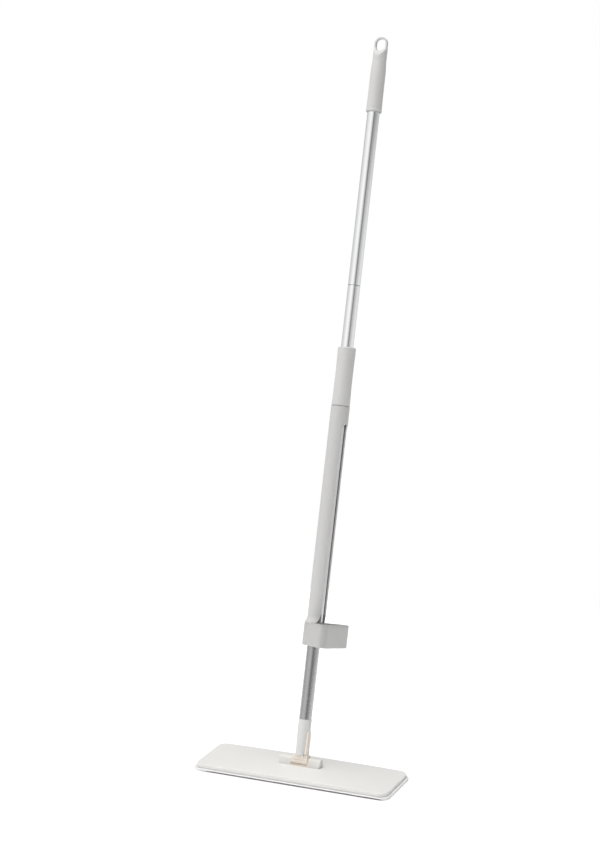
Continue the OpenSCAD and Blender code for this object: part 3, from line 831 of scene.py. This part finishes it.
plate_cover()

# ---------------------------------------------------------------- mop pad

PAD_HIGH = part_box("pad_binding")[1] / MM
PAD_L = 2 * PAD_HIGH.x
PAD_W = 2 * PAD_HIGH.y
PAD_CORNER = 17.0
BACKING_LOW, BACKING_TOP = (v.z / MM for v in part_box("pad_backing"))


# Pitch of the pile's points, its rows and the twists along a row
PILE_CELL = 1.15
PILE_ROW = 4.6
PILE_TWIST = 3.4


def pad_pile():
    """Looped microfibre pile: rows of tufts on the underside and a ragged edge."""
    inset = 1.6
    length, width = PAD_L - 2 * inset, PAD_W - 2 * inset
    corner = PAD_CORNER - inset
    edge = round_loop(length, width, corner, 40, 460, 130)
    top = BACKING_LOW + 0.2
    flat = [(share, top) for share in (0.0, 0.5, 0.985)]
    rings = []
    for share, z in flat + [(1.0, top - 0.4), (1.006, 2.0), (1.006, 1.2), (0.998, 0.5)]:
        ring = []
        for i, p in enumerate(edge):
            tuft = math.sin(i * 2 * math.pi / 4.0) * 0.25
            tuft += noise.noise((p.x * 0.35, p.y * 0.35, z)) * 0.7
            grow = tuft if z < 2.6 else 0.0
            out = p.normalized() * grow
            ring.append((p.x * share + out.x, p.y * share + out.y, z))
        rings.append(ring)
    verts, faces = loft(rings, closed=False)
    nx, ny = int(length / PILE_CELL), int(width / PILE_CELL)
    grid = {}
    hx, hy = length / 2 - corner, width / 2 - corner
    for i in range(nx + 1):
        for j in range(ny + 1):
            x, y = -length / 2 + length * i / nx, -width / 2 + width * j / ny
            dx, dy = max(0.0, abs(x) - hx), max(0.0, abs(y) - hy)
            if math.hypot(dx, dy) > corner * 0.985:
                continue
            row = math.sin(y * 2 * math.pi / PILE_ROW) * 0.5 + 0.5
            twist = math.sin(x * 2 * math.pi / PILE_TWIST + y * 1.1) * 0.5 + 0.5
            rough = noise.noise((x * 0.5, y * 0.5, 3.0)) * 0.5 + 0.5
            z = 1.5 * (1 - row * (0.35 + 0.4 * twist + 0.25 * rough))
            grid[i, j] = len(verts)
            verts.append((x, y, max(0.0, z)))
    for i in range(nx):
        for j in range(ny):
            quad = [(i, j), (i, j + 1), (i + 1, j + 1), (i + 1, j)]
            if all(q in grid for q in quad):
                faces.append(tuple(grid[q] for q in quad))
    obj = make("pad_pile_loops", verts, faces)
    bm = bmesh.new()
    bm.from_mesh(obj.data)
    bmesh.ops.remove_doubles(bm, verts=bm.verts, dist=1e-7)
    loose = [v for v in bm.verts if not v.link_faces]
    bmesh.ops.delete(bm, geom=loose, context="VERTS")
    bm.to_mesh(obj.data)
    bm.free()
    smooth(obj, weighted=False)
    return finish_piece(obj, pile_fibre_and_shadow, "head", ["pad_pile"])


def pad_backing():
    """Pad's woven back, with the pressed-in lines of its stitching every row_gap."""
    row_gap = 20
    outer = round_loop(PAD_L - 4.4, PAD_W - 4.4, PAD_CORNER - 2.2, 20, 150, 44)
    rings = []
    for share, z in [(0.0, 0.3), (0.96, 0.3), (1.0, 0.4), (1.0, 1.0)]:
        rings.append([(p.x * share, p.y * share, BACKING_LOW + z) for p in outer])
    thick = BACKING_TOP - BACKING_LOW
    for i in range(12):
        share = 1 - i / 12
        ring = []
        for p in outer:
            x, y = p.x * share, p.y * share
            line = math.exp(-(((y - row_gap * round(y / row_gap)) / 0.8) ** 2)) * 0.25
            ring.append((x, y, BACKING_LOW + thick - line))
        rings.append(ring)
    rings.append([(0, 0, BACKING_LOW + thick) for _ in outer])
    verts, faces = loft(rings, closed=False)
    obj = smooth(make("pad_woven_back", verts, faces, ROW, merge=0.001), weighted=False)
    return finish_piece(obj, backing_cloth, "head", ["pad_backing"])


def eased(value, start, end):
    """0 before start, 1 after end and a smooth rise between them."""
    t = min(1.0, max(0.0, (value - start) / (end - start)))
    return t * t * (3 - 2 * t)


def tape_low(x, y):
    """Height of the tape's lower edge, raised along the front so that the near-black pile shows there
    as painted contact shadow.
    """
    front = eased(-y, 30, 52) * eased(x, -172, -140) * (1 - eased(x, 166, 180))
    return 0.45 + 1.85 * front


def tape_ripple(x, y):
    """Small rise and fall of the tape round the pad."""
    return noise.noise((x * 0.05, y * 0.05, 0.0)) * 0.22


def pad_binding():
    """Woven tape folded round the pad's edge, drawn up along the front where the near-black pile shows
    as painted contact shadow.
    """
    width, high = 5.0, 4.75
    rings = []
    count = 18
    for k in range(count):
        a = 2 * math.pi * k / count
        # rounded box section, wider than tall
        u = math.copysign(abs(math.cos(a)) ** 0.55, math.cos(a)) * width / 2
        w = math.copysign(abs(math.sin(a)) ** 0.7, math.sin(a)) / 2
        inset = width / 2 - u
        loop = round_loop(PAD_L - 2 * inset, PAD_W - 2 * inset, PAD_CORNER - inset, 20, 150, 44)
        ring = []
        for p in loop:
            low = tape_low(p.x, p.y)
            ring.append((p.x, p.y, low + (high - low) * (w + 0.5) + tape_ripple(p.x, p.y)))
        rings.append(ring)
    verts, faces = loft(rings)
    obj = smooth(make("pad_edge_tape", verts, faces), weighted=False)
    return finish_piece(obj, binding_cloth, "head", ["pad_binding"])


STITCH_GAP = 2.6
STITCH_SIDES = 6
STITCH_R = 0.26
STITCH_STEPS = 6


def stitch_line(here, run):
    """Middle line of one stitch, over the tape from its top to under its edge."""
    out = Vector((run.y, -run.x))
    slant = 0.9 + random.uniform(-0.15, 0.15)
    line = []
    for step in range(STITCH_STEPS + 1):
        a = math.radians(-60 + 172 * step / STITCH_STEPS)
        push = math.cos(a) * 2.6 - 2.1
        rise = math.sin(a) * 1.62
        along = slant * (step / STITCH_STEPS - 0.5) * 2
        x = here.x + out.x * push + run.x * along
        y = here.y + out.y * push + run.y * along
        line.append(Vector((x, y, 3.3 + rise + tape_ripple(here.x, here.y))))
    return line


def add_thread(verts, faces, line, run):
    """Adds a thin round rod along a line to the points and faces."""
    start = len(verts)
    last = len(line) - 1
    for i, point in enumerate(line):
        tangent = (line[min(i + 1, last)] - line[max(i - 1, 0)]).normalized()
        side = tangent.cross(Vector((0, 0, 1)))
        side = side.normalized() if side.length > 0.05 else Vector((run.x, run.y, 0))
        lift = side.cross(tangent)
        for s in range(STITCH_SIDES):
            a = 2 * math.pi * s / STITCH_SIDES
            verts.append(point + side * (STITCH_R * math.cos(a)) + lift * (STITCH_R * math.sin(a)))
    for i in range(last):
        for s in range(STITCH_SIDES):
            a = start + i * STITCH_SIDES + s
            b = start + i * STITCH_SIDES + (s + 1) % STITCH_SIDES
            faces.append((a, b, b + STITCH_SIDES, a + STITCH_SIDES))
    faces.append(tuple(start + s for s in reversed(range(STITCH_SIDES))))
    faces.append(tuple(start + last * STITCH_SIDES + s for s in range(STITCH_SIDES)))


def edge_stitches():
    """Overlock thread: short slanted stitches round the tape."""
    random.seed(5)
    path = round_loop(PAD_L - 1.0, PAD_W - 1.0, PAD_CORNER - 0.5, 24, 130, 40)
    verts, faces = [], []
    for i, t in spaced(path, int(lengths_along(path)[-1] / STITCH_GAP)):
        p, q = path[i], path[(i + 1) % len(path)]
        run = (q - p).normalized()
        add_thread(verts, faces, stitch_line(p.lerp(q, t), run), run)
    obj = smooth(make("pad_edge_stitches", verts, faces), weighted=False)
    return finish_piece(obj, stitch_thread, "head")


pad_pile()
pad_backing()
pad_binding()
edge_stitches()

# ---------------------------------------------------------------- camera, floor and light

CAMERA_AT = Vector((1.2821, -2.9602, 1.2835))
CAMERA_YAW = math.radians(-23.44)
CAMERA_PITCH = math.radians(-11.45)
LENS = 83.4


def camera():
    """The photograph's view: from above on the right of the front."""
    data = bpy.data.cameras.new("camera")
    data.sensor_fit = "AUTO"
    data.sensor_width = 36.0
    data.lens = LENS
    data.clip_end = 60.0
    obj = bpy.data.objects.new("camera", data)
    bpy.context.scene.collection.objects.link(obj)
    forward = Vector(
        (
            math.sin(CAMERA_YAW) * math.cos(CAMERA_PITCH),
            math.cos(CAMERA_YAW) * math.cos(CAMERA_PITCH),
            math.sin(CAMERA_PITCH),
        )
    )
    obj.location = CAMERA_AT
    obj.rotation_mode = "QUATERNION"
    obj.rotation_quaternion = forward.to_track_quat("-Z", "Y")
    bpy.context.scene.camera = obj


def floor():
    """Round white floor, small enough that the steel also mirrors what lies past it."""
    radius, sides = 1.15, 96
    mesh = bpy.data.meshes.new("floor")
    turns = [2 * math.pi * i / sides for i in range(sides)]
    rim = [(radius * math.cos(a), radius * math.sin(a), 0) for a in turns]
    mesh.from_pydata(rim, [], [tuple(range(sides))])
    obj = bpy.data.objects.new("floor", mesh)
    bpy.context.scene.collection.objects.link(obj)
    obj.location.z = -0.0002
    material, tree, shader = new_material("floor_white")
    shader.inputs["Base Color"].default_value = (0.90, 0.90, 0.90, 1)
    shader.inputs["Roughness"].default_value = 0.9
    shader.inputs["Specular IOR Level"].default_value = 0.1
    shader.inputs["Emission Color"].default_value = (1, 1, 1, 1)
    shader.inputs["Emission Strength"].default_value = 0.18
    mesh.materials.append(material)


# Brightness of the studio round the object, by degrees to the right of the camera: first what the
# pole's steel mirrors, near the horizon, and then the walls above it
LOW_STUDIO = [
    (-180, 0.40),
    (-160, 0.46),
    (-135, 0.66),
    (-100, 0.72),
    (-62, 0.94),
    (-38, 1.03),
    (-22, 0.90),
    (-6, 0.60),
    (8, 0.28),
    (20, 0.25),
    (31, 0.50),
    (48, 0.66),
    (90, 0.86),
    (135, 0.76),
    (160, 0.50),
    (180, 0.40),
]
HIGH_STUDIO = [
    (-180, 0.30),
    (-140, 0.40),
    (-105, 0.90),
    (-5, 0.96),
    (20, 0.02),
    (90, 0.01),
    (125, 0.40),
    (180, 0.30),
]
STUDIO_TOP = 2.30
BRIGHTEST = 2.30


def studio_band(tree, share, levels):
    """Grey brightness round the horizon, from 0 to BRIGHTEST."""
    colors = tree.nodes.new("ShaderNodeValToRGB")
    colors.color_ramp.interpolation = "EASE"
    elements = colors.color_ramp.elements
    for _ in levels[2:]:
        elements.new(0.5)
    for element, (degrees, value) in zip(elements, levels):
        element.position = (degrees + 180) / 360
        level = value / BRIGHTEST
        element.color = (level, level, level, 1)
    tree.links.new(share, colors.inputs[0])
    return colors.outputs[0]


def studio_mix(tree, share, first, second):
    """Blend of two brightnesses, the second of which may be a plain colour."""
    mix = tree.nodes.new("ShaderNodeMix")
    mix.data_type = "RGBA"
    tree.links.new(share, mix.inputs[0])
    tree.links.new(first, mix.inputs[6])
    if isinstance(second, tuple):
        mix.inputs[7].default_value = second
    else:
        tree.links.new(second, mix.inputs[7])
    return mix.outputs[2]


def studio_world():
    """Soft studio: bright on the left, a dark gap on the right, and white for the camera."""
    world = bpy.data.worlds.new("studio")
    bpy.context.scene.world = world
    world.use_nodes = True
    tree = world.node_tree
    background = tree.nodes["Background"]
    coords = tree.nodes.new("ShaderNodeTexCoord")
    split = tree.nodes.new("ShaderNodeSeparateXYZ")
    tree.links.new(coords.outputs["Generated"], split.inputs[0])
    turn = tree.nodes.new("ShaderNodeMath")
    turn.operation = "ARCTAN2"
    tree.links.new(split.outputs["X"], turn.inputs[0])
    tree.links.new(split.outputs["Y"], turn.inputs[1])
    shift = tree.nodes.new("ShaderNodeMath")
    shift.operation = "SUBTRACT"
    shift.inputs[0].default_value = CAMERA_YAW + math.pi
    tree.links.new(turn.outputs[0], shift.inputs[1])
    wrap = tree.nodes.new("ShaderNodeMath")
    wrap.operation = "WRAP"
    wrap.inputs[1].default_value = math.pi
    wrap.inputs[2].default_value = -math.pi
    tree.links.new(shift.outputs[0], wrap.inputs[0])
    share = ramp(tree, wrap.outputs[0], 0, 1, -math.pi, math.pi)
    low = studio_band(tree, share, LOW_STUDIO)
    high = studio_band(tree, share, HIGH_STUDIO)
    lift = tree.nodes.new("ShaderNodeVectorMath")
    lift.operation = "DOT_PRODUCT"
    lift.inputs[1].default_value = POLE_UP
    tree.links.new(coords.outputs["Generated"], lift.inputs[0])
    walls = studio_mix(tree, ramp(tree, lift.outputs["Value"], 0, 1, 0.17, 0.30), low, high)
    top = (STUDIO_TOP / BRIGHTEST,) * 3 + (1,)
    whole = studio_mix(tree, ramp(tree, split.outputs["Z"], 0, 1, 0.70, 0.94), walls, top)
    tree.links.new(whole, background.inputs["Color"])
    background.inputs["Strength"].default_value = BRIGHTEST
    white = tree.nodes.new("ShaderNodeBackground")
    white.inputs["Color"].default_value = (1, 1, 1, 1)
    path = tree.nodes.new("ShaderNodeLightPath")
    choose = tree.nodes.new("ShaderNodeMixShader")
    tree.links.new(path.outputs["Is Camera Ray"], choose.inputs[0])
    tree.links.new(background.outputs[0], choose.inputs[1])
    tree.links.new(white.outputs[0], choose.inputs[2])
    tree.links.new(choose.outputs[0], tree.nodes["World Output"].inputs["Surface"])


def softbox(name, at, target, size, watts):
    """Square area light aimed at a point."""
    data = bpy.data.lights.new(name, "AREA")
    data.shape = "SQUARE"
    data.size = size
    data.energy = watts
    obj = bpy.data.objects.new(name, data)
    bpy.context.scene.collection.objects.link(obj)
    obj.location = at
    obj.rotation_mode = "QUATERNION"
    obj.rotation_quaternion = (Vector(target) - Vector(at)).to_track_quat("-Z", "Y")


camera()
floor()
studio_world()
softbox("top_softbox", (-0.8, -0.6, 3.2), (0, 0.1, 0), 2.2, 12)

bpy.context.scene.view_settings.view_transform = "Standard"
bpy.context.scene.view_settings.look = "None"
